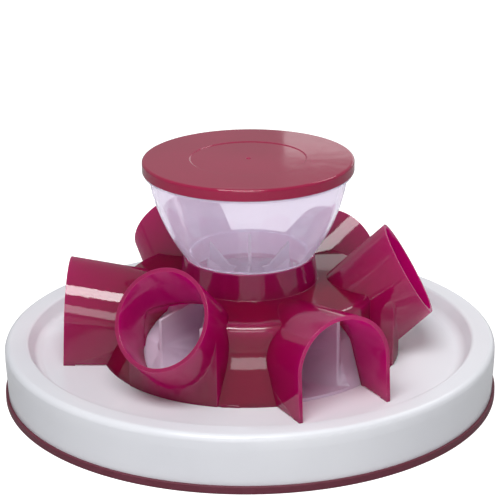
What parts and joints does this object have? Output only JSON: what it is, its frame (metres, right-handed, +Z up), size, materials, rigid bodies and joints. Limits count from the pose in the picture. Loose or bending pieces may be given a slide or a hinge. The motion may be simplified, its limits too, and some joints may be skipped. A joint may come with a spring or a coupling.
{
  "type": "interactive cat feeder",
  "caption": "Round tray on a non-slip ring with a domed see-through housing of arched and inclined round tunnels, a clear food bowl with a lid on top, and a cone inside that spreads the food.",
  "frame": {"origin": "on the ground under the centre of the round tray", "axes": "+Z up; +X through the inclined round tunnel at the right; -Y is the front"},
  "size_m": [0.3016, 0.3016, 0.146],
  "materials": {
    "white_plastic": "satin moulded",
    "burgundy_rubber": "matt",
    "burgundy_plastic": "polished, see-through tint",
    "lid_plastic": "polished",
    "clear_plastic": "polished clear"
  },
  "bodies": {
    "base": {"tray": "white_plastic", "non_slip_ring": "burgundy_rubber", "distributor": "white_plastic"},
    "housing": {"dome_shell": "burgundy_plastic", "arch_tunnel_left": "burgundy_plastic", "arch_tunnel_front_right": "burgundy_plastic", "arch_tunnel_rear_right": "burgundy_plastic", "tube_tunnel_right": "burgundy_plastic", "tube_tunnel_front_left": "burgundy_plastic", "tube_tunnel_rear_left": "burgundy_plastic"},
    "bowl": {"hopper_bowl": "clear_plastic"},
    "lid": {"lid": "lid_plastic"}
  },
  "joints": [
    {"name": "housing_lift", "type": "slide", "parent": "base", "child": "housing", "axis": [0, 0, 1], "range_m": [0, 0.08]},
    {"name": "bowl_lift", "type": "slide", "parent": "housing", "child": "bowl", "axis": [0, 0, 1], "range_m": [0, 0.025]},
    {"name": "lid_lift", "type": "slide", "parent": "bowl", "child": "lid", "axis": [0, 0, 1], "range_m": [0, 0.015]}
  ]
}
